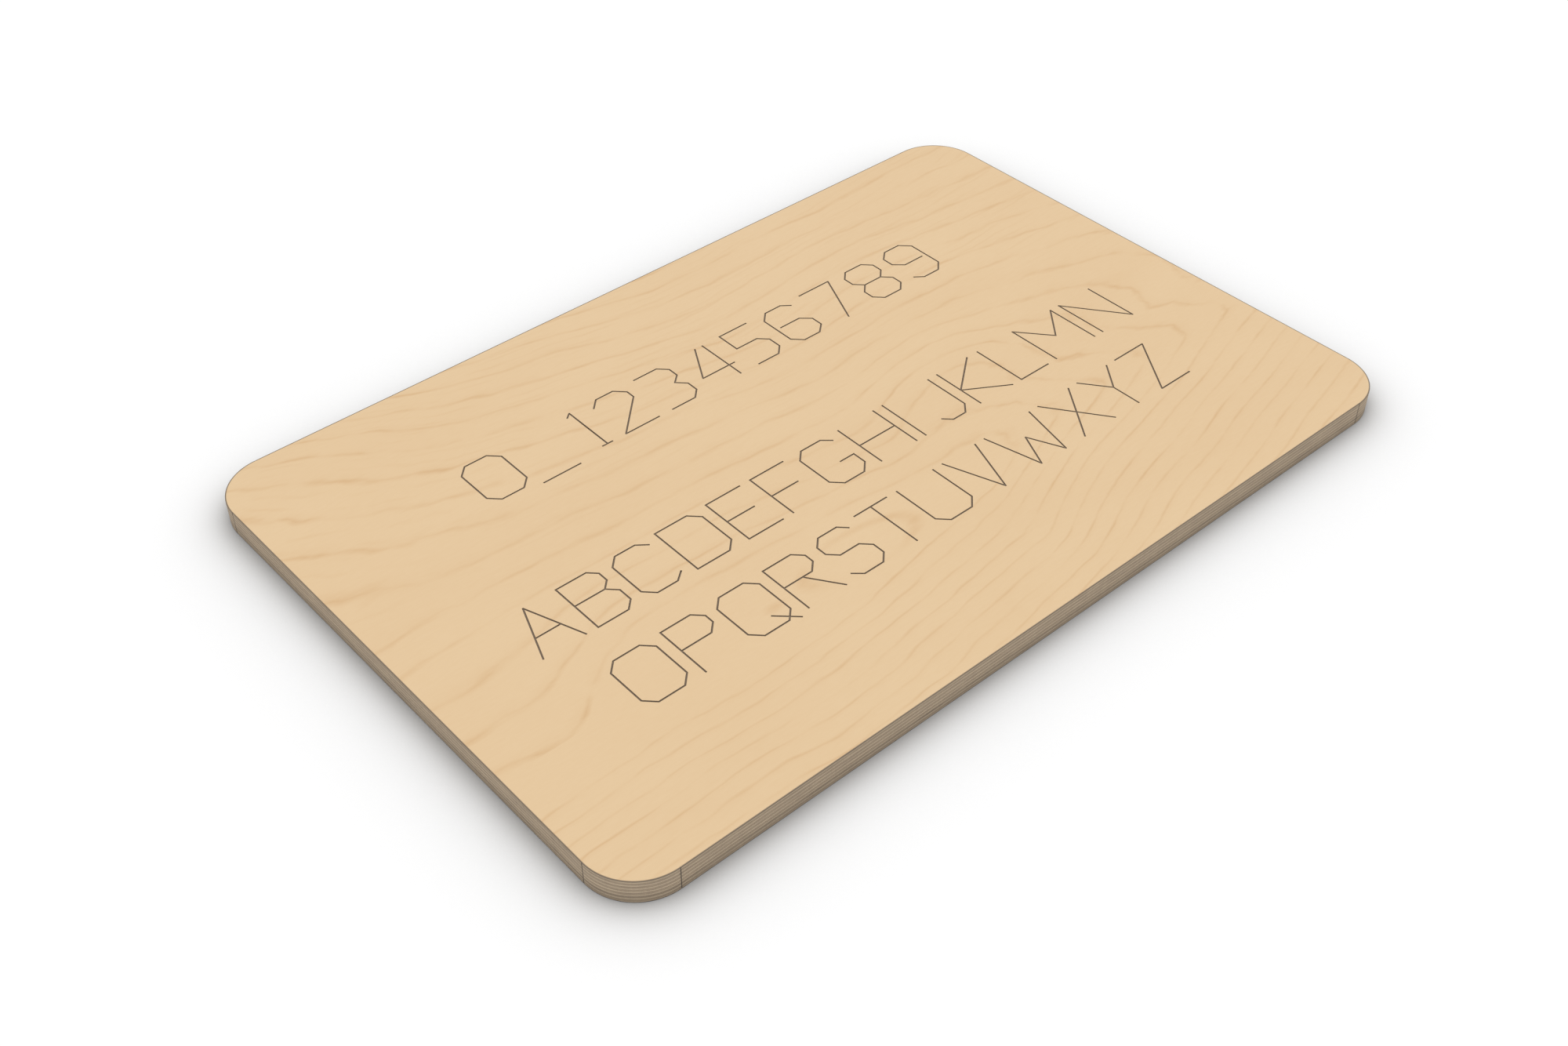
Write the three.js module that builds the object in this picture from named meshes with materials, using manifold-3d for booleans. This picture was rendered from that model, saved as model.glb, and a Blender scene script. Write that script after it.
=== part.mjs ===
// A small rectangular wooden plaque with round corners, cut from thin-ply plywood.
//
// The board is a lay-up of thirteen veneers: a maple face, eleven birch cores laid
// crosswise in turn, and a birch back, with a glue line between each pair. The face is
// scored with three rows of plain single-line lettering, a generic set of digits and
// capital letters.
//
// Units are millimetres. X runs along the plaque, in the reading direction, Y runs up
// the letters, Z comes out of the face, and the origin is at the middle of the back.
import * as THREE from "three";
import { mergeVertices } from "three/addons/utils/BufferGeometryUtils.js";
import Module from "manifold-3d";

const wasm = await Module();
wasm.setup();

// Outline of the board.
const BOARD_LENGTH = 228.6;
const BOARD_WIDTH = 152.4;
const CORNER_RADIUS = 12.7;
// Flats that draw each quarter round.
const CORNER_FLATS = 12;

// Lay-up, from the front down. The face and the back are sanded thinner than the cores.
const FACE_VENEER = 0.39;
const CORE_VENEER = 0.42;
const BACK_VENEER = 0.39;
const GLUE_LINE = 0.05;
const CORE_COUNT = 11;

// Scored lettering. Heights and pitches are taken along the middle of the strokes.
const CAP_HEIGHT = 14.7;
const STROKE_WIDTH = 0.42;
const SCORE_DEPTH = 0.25;
const DIGIT_GAP = 3.8;
const LETTER_GAP = 2.95;
const DIGIT_ROW_DROP = 45.9;
const LETTER_ROW_DROP = 24.3;
// The lettering stands this much above the middle of the board.
const LETTERING_LIFT = 0.57;

// A stroke's square ends run this far past its end points.
const END_OVERRUN = 0.07;
// A turn whose mitre would reach more half widths than this is cut off square instead.
const MITRE_LIMIT = 1.6;
// How far the cutting prisms stand above the face.
const CUT_CLEARANCE = 0.5;

// Letters are drawn on a grid of six squares from baseline to cap line.
const GRID_ROWS = 6;

// Every glyph has a cell width and its strokes, in grid squares from the baseline's left
// end. A stroke is a list of [x, y] corners, and a closed one is a loop.
const open = (...points) => ({ points, closed: false });
const loop = (...points) => ({ points, closed: true });

// A tall octagon of the given width, which the round characters share.
const octagon = (width) =>
  loop([1, 0], [width - 1, 0], [width, 1], [width, 5], [width - 1, 6], [1, 6], [0, 5], [0, 1]);

const GLYPHS = {
  "0": { width: 4.4, strokes: [octagon(4.4)] },
  "_": { width: 3.35, strokes: [open([-0.85, -0.65], [3.35, -0.65])] },
  "1": { width: 2.6, strokes: [open([1.4, 5.5], [2, 6], [2, 0]), open([1.4, 0], [2.6, 0])] },
  "2": { width: 4, strokes: [open([0, 5], [1, 6], [3, 6], [4, 5], [4, 4], [0, 0], [4, 0])] },
  "3": {
    width: 3.7,
    strokes: [
      open([0, 6], [2.8, 6], [3.7, 5.1], [3.7, 3.9], [2.8, 3.1], [3.7, 2.2], [3.7, 0.9], [2.8, 0], [0, 0]),
    ],
  },
  "4": { width: 4, strokes: [open([2.4, 6], [0, 1.8], [4, 1.8]), open([3.3, 6], [3.3, 0])] },
  "5": {
    width: 3.5,
    strokes: [open([3.5, 6], [0, 6], [0, 3.3], [2.6, 3.3], [3.5, 2.4], [3.5, 0.9], [2.6, 0], [0, 0])],
  },
  "6": {
    width: 4,
    strokes: [
      open([3.9, 5.3], [3, 6], [1, 6], [0, 5], [0, 1], [1, 0], [3, 0], [4, 0.9], [4, 2.2], [3, 3.1], [0.5, 3.1]),
    ],
  },
  "7": { width: 4, strokes: [open([0, 6], [4, 6], [1.4, 0])] },
  "8": {
    width: 4,
    strokes: [
      loop([0.9, 3], [3.1, 3], [4, 3.9], [4, 5.1], [3.1, 6], [0.9, 6], [0, 5.1], [0, 3.9]),
      open([0.9, 3], [0, 2.1], [0, 0.9], [0.9, 0], [3.1, 0], [4, 0.9], [4, 2.1], [3.1, 3]),
    ],
  },
  "9": {
    width: 4,
    strokes: [
      open([0.1, 0.7], [1, 0], [3, 0], [4, 1], [4, 5], [3, 6], [1, 6], [0, 5.1], [0, 3.8], [1, 2.9], [3.5, 2.9]),
    ],
  },
  "A": { width: 4.4, strokes: [open([0, 0], [2.2, 6], [4.4, 0]), open([0.88, 2.4], [3.52, 2.4])] },
  "B": {
    width: 4.1,
    strokes: [
      loop([0, 0], [0, 6], [3.2, 6], [4, 5.2], [4, 4.1], [3.2, 3.3], [4.1, 2.4], [4.1, 0.9], [3.2, 0]),
      open([0, 3.3], [3.2, 3.3]),
    ],
  },
  "C": {
    width: 4.2,
    strokes: [open([4.2, 5.2], [3.2, 6], [1, 6], [0, 5], [0, 1], [1, 0], [3.2, 0], [4.2, 0.8])],
  },
  "D": { width: 4.6, strokes: [loop([0, 0], [0, 6], [3.6, 6], [4.6, 5], [4.6, 1], [3.6, 0])] },
  "E": { width: 4, strokes: [open([4, 6], [0, 6], [0, 0], [4, 0]), open([0, 3], [3.2, 3])] },
  "F": { width: 4, strokes: [open([4, 6], [0, 6], [0, 0]), open([0, 3], [3.2, 3])] },
  "G": {
    width: 4.4,
    strokes: [
      open([4.3, 5.2], [3.4, 6], [1, 6], [0, 5], [0, 1], [1, 0], [3.4, 0], [4.4, 1], [4.4, 2.5], [2.7, 2.5]),
    ],
  },
  "H": { width: 4.5, strokes: [open([0, 0], [0, 6]), open([4.5, 0], [4.5, 6]), open([0, 3], [4.5, 3])] },
  "I": { width: 0, strokes: [open([0, 0], [0, 6])] },
  "J": { width: 4.9, strokes: [open([4.9, 6], [4.9, 1], [4, 0], [2.4, 0], [1.6, 0.8])] },
  "K": { width: 4.4, strokes: [open([0, 0], [0, 6]), open([4.2, 6], [0, 2.7], [4.4, 0])] },
  "L": { width: 3.8, strokes: [open([0, 6], [0, 0], [3.8, 0])] },
  "M": { width: 5.6, strokes: [open([0, 0], [0, 6], [2.8, 2.7], [5.6, 6], [5.6, 0])] },
  "N": { width: 4.5, strokes: [open([0, 0], [0, 6], [4.5, 0], [4.5, 6])] },
  "O": { width: 4.7, strokes: [octagon(4.7)] },
  "P": {
    width: 4.1,
    strokes: [
      open([0, 0], [0, 6], [3.2, 6], [4.1, 5.1], [4.1, 4.1], [3.2, 3.2]),
      open([0, 3.2], [3.2, 3.2]),
    ],
  },
  "Q": { width: 4.7, strokes: [octagon(4.7), open([2.9, 1.4], [4.8, -0.4])] },
  "R": {
    width: 4.3,
    strokes: [
      open([0, 0], [0, 6], [3.2, 6], [4.1, 5.1], [4.1, 4.1], [3.2, 3.2]),
      open([0, 3.2], [3.2, 3.2]),
      open([2.1, 3.2], [4.3, 0]),
    ],
  },
  "S": {
    width: 4,
    strokes: [
      open([3.9, 5.2], [3.1, 6], [0.9, 6], [0, 5.1], [0, 4], [0.9, 3.1], [3.1, 3.1], [4, 2.2], [4, 0.9], [3.1, 0],
        [0.9, 0], [0, 0.8]),
    ],
  },
  "T": { width: 4, strokes: [open([0, 6], [4, 6]), open([2, 6], [2, 0])] },
  "U": { width: 4.6, strokes: [open([0, 6], [0, 1], [1, 0], [3.6, 0], [4.6, 1], [4.6, 6])] },
  "V": { width: 4.3, strokes: [open([0, 6], [2.15, 0], [4.3, 6])] },
  "W": { width: 6.1, strokes: [open([0, 6], [1.4, 0], [3.05, 3.6], [4.7, 0], [6.1, 6])] },
  "X": { width: 4.3, strokes: [open([0, 6], [4.3, 0]), open([0, 0], [4.3, 6])] },
  "Y": { width: 4.3, strokes: [open([0, 6], [2.15, 3.2], [4.3, 6]), open([2.15, 3.2], [2.15, 0])] },
  "Z": { width: 4.1, strokes: [open([0, 6], [4.1, 6], [0, 0], [4.1, 0])] },
};

// The rows from the top down, each with the gap between its cells and its drop below
// the row before it.
const ROWS = [
  { text: "0_123456789", gap: DIGIT_GAP, drop: 0 },
  { text: "ABCDEFGHIJKLMN", gap: LETTER_GAP, drop: DIGIT_ROW_DROP },
  { text: "OPQRSTUVWXYZ", gap: LETTER_GAP, drop: LETTER_ROW_DROP },
];

/** Outline of the whole board, centred on the origin, with a quarter round at each corner. */
function boardOutline() {
  const x = BOARD_LENGTH / 2 - CORNER_RADIUS;
  const y = BOARD_WIDTH / 2 - CORNER_RADIUS;
  const centres = [[x, y], [-x, y], [-x, -y], [x, -y]];
  const points = centres.flatMap(([centreX, centreY], quarter) =>
    Array.from({ length: CORNER_FLATS + 1 }, (_, i) => {
      const angle = (quarter + i / CORNER_FLATS) * (Math.PI / 2);
      return new THREE.Vector2(
        centreX + CORNER_RADIUS * Math.cos(angle),
        centreY + CORNER_RADIUS * Math.sin(angle),
      );
    }),
  );
  return new THREE.Shape(points);
}

/** A flat sheet of the board's outline, from z = 0 up to its thickness. */
function sheetGeometry(thickness) {
  return new THREE.ExtrudeGeometry(boardOutline(), { depth: thickness, bevelEnabled: false });
}

/** Unit direction from one point to the next. */
function direction(from, to) {
  return to.clone().sub(from).normalize();
}

/** The direction turned a quarter to the left. */
function leftOf(heading) {
  return new THREE.Vector2(-heading.y, heading.x);
}

/** Points of one edge of a stroke at a corner: one, or two on the outside of a sharp turn. */
function cornerPoints(corner, before, after, side) {
  const offset = side * (STROKE_WIDTH / 2);
  const bisector = leftOf(before).add(leftOf(after)).normalize();
  const reach = 1 / bisector.dot(leftOf(before));
  const isOutside = side * before.cross(after) < 0;
  if (isOutside && reach > MITRE_LIMIT) {
    return [
      corner.clone().addScaledVector(leftOf(before), offset).addScaledVector(before, END_OVERRUN),
      corner.clone().addScaledVector(leftOf(after), offset).addScaledVector(after, -END_OVERRUN),
    ];
  }
  return [corner.clone().addScaledVector(bisector, offset * reach)];
}

/** One edge of a stroke: the left one for a side of 1, the right one for a side of -1. */
function strokeEdge({ points, closed }, side) {
  return points.flatMap((point, i) => {
    const before = closed || i > 0 ? direction(points.at(i - 1), point) : null;
    const after = closed || i < points.length - 1 ? direction(point, points[(i + 1) % points.length]) : null;
    if (before && after) {
      return cornerPoints(point, before, after, side);
    }
    const heading = before ?? after;
    const end = point.clone().addScaledVector(heading, before ? END_OVERRUN : -END_OVERRUN);
    return [end.addScaledVector(leftOf(heading), side * (STROKE_WIDTH / 2))];
  });
}

/** The outline of a stroke, which has a hole where the stroke is a loop. */
function strokeOutline(stroke) {
  const left = strokeEdge(stroke, 1);
  const right = strokeEdge(stroke, -1).reverse();
  if (!stroke.closed) {
    return new THREE.Shape([...left, ...right]);
  }
  const [outer, inner] = THREE.ShapeUtils.isClockWise(stroke.points) ? [left, right] : [right, left];
  const shape = new THREE.Shape(outer);
  shape.holes.push(new THREE.Path(inner));
  return shape;
}

/** Width of a row of lettering, from its first cell to its last. */
function rowWidth(row, grid) {
  const cells = [...row.text].reduce((sum, character) => sum + GLYPHS[character].width * grid, 0);
  return cells + row.gap * (row.text.length - 1);
}

/** Outlines of all scored strokes, on the board, with each row centred along X. */
function scoreOutlines() {
  const grid = CAP_HEIGHT / GRID_ROWS;
  const blockHeight = CAP_HEIGHT + ROWS.reduce((sum, row) => sum + row.drop, 0);
  const outlines = [];
  let baseline = LETTERING_LIFT + blockHeight / 2 - CAP_HEIGHT;
  for (const row of ROWS) {
    baseline -= row.drop;
    let left = -rowWidth(row, grid) / 2;
    for (const character of row.text) {
      const glyph = GLYPHS[character];
      for (const stroke of glyph.strokes) {
        const points = stroke.points.map(([x, y]) => new THREE.Vector2(left + x * grid, baseline + y * grid));
        outlines.push(strokeOutline({ points, closed: stroke.closed }));
      }
      left += glyph.width * grid + row.gap;
    }
  }
  return outlines;
}

/** A closed geometry as a solid that can be cut. */
function toSolid(geometry) {
  const bare = geometry.clone();
  bare.deleteAttribute("normal");
  bare.deleteAttribute("uv");
  const merged = mergeVertices(bare);
  const mesh = new wasm.Mesh({
    numProp: 3,
    vertProperties: new Float32Array(merged.attributes.position.array),
    triVerts: new Uint32Array(merged.index.array),
  });
  return new wasm.Manifold(mesh);
}

/** A cut solid as a flat-shaded geometry. */
function toGeometry(solid) {
  const mesh = solid.getMesh();
  const geometry = new THREE.BufferGeometry();
  geometry.setAttribute("position", new THREE.BufferAttribute(mesh.vertProperties, mesh.numProp));
  geometry.setIndex(new THREE.BufferAttribute(mesh.triVerts, 1));
  geometry.computeVertexNormals();
  return geometry;
}

/** The face veneer with every stroke scored part of the way through it. */
function scoredFaceGeometry() {
  const prism = { depth: SCORE_DEPTH + CUT_CLEARANCE, bevelEnabled: false };
  let solid = toSolid(sheetGeometry(FACE_VENEER));
  for (const outline of scoreOutlines()) {
    const cutter = new THREE.ExtrudeGeometry(outline, prism);
    cutter.translate(0, 0, FACE_VENEER - SCORE_DEPTH);
    solid = solid.subtract(toSolid(cutter));
  }
  return toGeometry(solid);
}

/** Sanded maple, pale and warm. */
function mapleFace() {
  return new THREE.MeshStandardMaterial({ color: 0xe6cba2, roughness: 0.6, metalness: 0 });
}

/** Birch with its grain along the plaque, browned where the cut edge shows. */
function longGrainBirch() {
  return new THREE.MeshStandardMaterial({ color: 0x9c8b77, roughness: 0.8, metalness: 0 });
}

/** Birch with its grain across the plaque, darker where the cut edge shows end grain. */
function crossGrainBirch() {
  return new THREE.MeshStandardMaterial({ color: 0x82725f, roughness: 0.85, metalness: 0 });
}

/** Hardened wood glue, a thin brown line at the edge. */
function curedGlue() {
  return new THREE.MeshStandardMaterial({ color: 0x6d5a46, roughness: 0.5, metalness: 0 });
}

/** A two-figure number for a name. */
function twoFigures(number) {
  return String(number).padStart(2, "0");
}

/** The lay-up from the back up: each sheet's name, thickness, geometry and material. */
function layUp() {
  const plies = [{ name: "back_veneer", thickness: BACK_VENEER, material: longGrainBirch }];
  for (let ply = CORE_COUNT + 1; ply > 1; ply -= 1) {
    const isCross = ply % 2 === 0;
    const name = `${isCross ? "cross" : "long"}_veneer_${twoFigures(ply)}`;
    plies.push({ name, thickness: CORE_VENEER, material: isCross ? crossGrainBirch : longGrainBirch });
  }
  plies.push({
    name: "face_veneer",
    thickness: FACE_VENEER,
    geometry: scoredFaceGeometry(),
    material: mapleFace,
  });
  const glueBetween = (i) => ({
    name: `glue_line_${twoFigures(plies.length - i)}`,
    thickness: GLUE_LINE,
    material: curedGlue,
  });
  return plies.flatMap((ply, i) => (i === 0 ? [ply] : [glueBetween(i), ply]));
}

/** The whole plaque, each sheet resting on the one below it. */
function plaque() {
  const group = new THREE.Group();
  let level = 0;
  for (const sheet of layUp()) {
    const mesh = new THREE.Mesh(sheet.geometry ?? sheetGeometry(sheet.thickness), sheet.material());
    mesh.name = sheet.name;
    mesh.position.z = level;
    group.add(mesh);
    level += sheet.thickness;
  }
  return group;
}

const group = plaque();

export default group;
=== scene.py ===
"""Wooden plaque: a laser-cut, 13-ply board with a maple face and scored single-line lettering."""

import logging
import math
from dataclasses import dataclass, field
from enum import Enum
from typing import Any

import bmesh
import bpy
from bpy.types import Material, Node, NodeTree, Object
from mathutils import Matrix, Vector
from mathutils.geometry import delaunay_2d_cdt


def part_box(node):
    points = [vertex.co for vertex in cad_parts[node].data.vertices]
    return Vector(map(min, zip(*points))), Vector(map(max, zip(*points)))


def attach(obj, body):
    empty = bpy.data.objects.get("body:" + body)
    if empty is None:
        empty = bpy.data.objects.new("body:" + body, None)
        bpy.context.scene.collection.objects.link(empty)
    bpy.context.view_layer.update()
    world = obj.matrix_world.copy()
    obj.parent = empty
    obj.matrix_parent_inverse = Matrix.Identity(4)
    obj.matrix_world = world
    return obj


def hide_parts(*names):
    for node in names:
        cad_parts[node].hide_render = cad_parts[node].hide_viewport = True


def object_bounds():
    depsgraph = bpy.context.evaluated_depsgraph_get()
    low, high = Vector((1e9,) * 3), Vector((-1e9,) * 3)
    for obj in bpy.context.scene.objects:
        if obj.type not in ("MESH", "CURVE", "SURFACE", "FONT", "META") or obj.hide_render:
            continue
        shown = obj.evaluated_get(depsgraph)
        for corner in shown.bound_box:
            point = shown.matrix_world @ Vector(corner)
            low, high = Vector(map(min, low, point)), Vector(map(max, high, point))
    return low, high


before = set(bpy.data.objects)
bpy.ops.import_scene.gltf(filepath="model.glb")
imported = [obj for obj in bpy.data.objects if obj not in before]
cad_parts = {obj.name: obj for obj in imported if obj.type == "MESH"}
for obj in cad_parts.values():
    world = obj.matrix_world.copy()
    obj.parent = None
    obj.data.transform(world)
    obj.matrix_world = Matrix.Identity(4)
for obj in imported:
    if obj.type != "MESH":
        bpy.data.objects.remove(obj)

CAD_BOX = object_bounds()
MM = 0.001
CORNER_RADIUS = 12.7 * MM
MM_PER_METRE = 1000.0
VECTOR_MATH = "ShaderNodeVectorMath"
NOISE = "ShaderNodeTexNoise"
SCORCH = "scorch"
OUTWARD = "outward"
LOG = logging.getLogger("wooden_plaque")

# What a node's input takes: a plain value, a socket, or a node that stands for its first output.
Feed = Any
Pair = tuple[float, float]


def linear(hex_colour: str) -> tuple[float, float, float, float]:
    """Turn an sRGB hex colour into the linear RGBA that a shader socket takes.

    Args:
        hex_colour: Colour written as #rrggbb.

    Returns:
        Linear red, green and blue, and an alpha of 1.
    """
    shares = [int(hex_colour[start : start + 2], 16) / 255 for start in (1, 3, 5)]
    red, green, blue = (s / 12.92 if s <= 0.04045 else ((s + 0.055) / 1.055) ** 2.4 for s in shares)
    return red, green, blue, 1.0


def add_node(tree: NodeTree, kind: str, feeds: tuple | dict[str, Feed] = (), **settings: Any) -> Node:
    """Add one node to a tree, with its settings, its values and its links.

    Args:
        tree: Node tree that takes the node.
        kind: Blender's identifier of the node type.
        feeds: What the inputs take, by position, or by name in a dict. A value is set on the socket,
            a socket is linked, and a node stands for its first output in use.
        **settings: Properties of the node itself.

    Returns:
        The new node.
    """
    node = tree.nodes.new(kind)
    for name, value in settings.items():
        setattr(node, name, value)
    for key, feed in feeds.items() if isinstance(feeds, dict) else enumerate(feeds):
        named = isinstance(key, str)
        socket = next(s for s in node.inputs if s.enabled and s.name == key) if named else node.inputs[key]
        if isinstance(feed, Node):
            feed = next(output for output in feed.outputs if output.enabled)
        if isinstance(feed, bpy.types.NodeSocket):
            tree.links.new(feed, socket)
        else:
            socket.default_value = feed
    return node


def compute(tree: NodeTree, operation: str, *feeds: Feed) -> Node:
    """Add a node that works out a number."""
    return add_node(tree, "ShaderNodeMath", feeds, operation=operation)


def compute_vector(tree: NodeTree, operation: str, *feeds: Feed) -> Node:
    """Add a node that works on vectors."""
    return add_node(tree, VECTOR_MATH, feeds, operation=operation)


def scale_vector(tree: NodeTree, vector: Feed, factor: Feed) -> Node:
    """Add the product of a vector and a number."""
    return add_node(tree, VECTOR_MATH, {"Vector": vector, "Scale": factor}, operation="SCALE")


def coordinates(tree: NodeTree) -> Node:
    """Add the board's own coordinates in millimetres."""
    return scale_vector(tree, add_node(tree, "ShaderNodeTexCoord").outputs["Object"], MM_PER_METRE)


def remap(
    tree: NodeTree, value: Feed, span: Pair, result: tuple[Feed, Feed] = (0.0, 1.0), **settings: Any
) -> Node:
    """Add an even change from the first result to the second while the value crosses the span."""
    return add_node(tree, "ShaderNodeMapRange", (value, *span, *result), **settings)


def ease(tree: NodeTree, value: Feed, span: Pair, result: Pair) -> Node:
    """Add a change like remap's that starts and ends gently."""
    return remap(tree, value, span, result, interpolation_type="SMOOTHSTEP")


def centred_noise(tree: NodeTree, cells: Feed, detail: float) -> Node:
    """Add a noise centred on zero over coordinates that count its cells."""
    cloud = add_node(tree, NOISE, {"Vector": cells, "Scale": 1.0, "Detail": detail})
    return compute(tree, "SUBTRACT", cloud, 0.5)


def blend(tree: NodeTree, factor: Feed, first: Feed, second: Feed, **settings: Any) -> Node:
    """Add a mix of two colours, from the first at a factor of 0 to the second at 1."""
    feeds = {"Factor": factor, "A": first, "B": second}
    return add_node(tree, "ShaderNodeMix", feeds, data_type="RGBA", **settings)


def add_surface(tree: NodeTree, look: dict[str, Feed]) -> None:
    """Add a Principled shader with the given inputs, and make it the material's surface."""
    shader = add_node(tree, "ShaderNodeBsdfPrincipled", look)
    add_node(tree, "ShaderNodeOutputMaterial", {"Surface": shader})


def start_geometry_tree(name: str, inputs: dict[str, str]) -> tuple[NodeTree, Node]:
    """Make an empty Geometry Nodes tree with named inputs.

    Args:
        name: Name of the tree.
        inputs: Kind of each input's socket, by the input's name.

    Returns:
        The tree and its group input node.
    """
    tree = bpy.data.node_groups.new(name, "GeometryNodeTree")
    tree.interface.new_socket("Geometry", in_out="INPUT", socket_type="NodeSocketGeometry")
    for label, kind in inputs.items():
        tree.interface.new_socket(label, in_out="INPUT", socket_type=f"NodeSocket{kind}")
    tree.interface.new_socket("Geometry", in_out="OUTPUT", socket_type="NodeSocketGeometry")
    return tree, add_node(tree, "NodeGroupInput")


def add_geometry_modifier(piece: Object, tree: NodeTree, values: dict[str, Feed]) -> None:
    """Put a Geometry Nodes modifier on a piece and set its inputs by their identifiers.

    Args:
        piece: Object that takes the modifier.
        tree: Geometry Nodes tree.
        values: Value of each input, by the input's name.
    """
    modifier = piece.modifiers.new(tree.name, "NODES")
    modifier.node_group = tree
    sockets = [item for item in tree.interface.items_tree if getattr(item, "in_out", "") == "INPUT"]
    identifiers = {socket.name: socket.identifier for socket in sockets}
    for name, value in values.items():
        modifier[identifiers[name]] = value


def bake_modifiers(piece: Object) -> None:
    """Replace a piece's mesh by its evaluated one, and remove its modifiers and unused first slot.

    Args:
        piece: Object whose modifiers are applied.
    """
    bpy.context.view_layer.update()
    depsgraph = bpy.context.evaluated_depsgraph_get()
    evaluated = piece.evaluated_get(depsgraph)
    mesh = bpy.data.meshes.new_from_object(evaluated, preserve_all_data_layers=True, depsgraph=depsgraph)
    piece.modifiers.clear()
    piece.data = mesh
    mesh.name = piece.name
    if mesh.materials[0] is None:
        indices = [polygon.material_index - 1 for polygon in mesh.polygons]
        mesh.materials.pop(index=0)
        mesh.polygons.foreach_set("material_index", indices)


def link_mesh(name: str, mesh: bpy.types.Mesh) -> Object:
    """Link a new object that holds a mesh to the scene."""
    piece = bpy.data.objects.new(name, mesh)
    bpy.context.scene.collection.objects.link(piece)
    return piece


class Grain(Enum):
    """Which way a veneer's fibres run, as a unit vector in the plane of the board."""

    ALONG = (1.0, 0.0, 0.0)
    ACROSS = (0.0, 1.0, 0.0)


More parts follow.
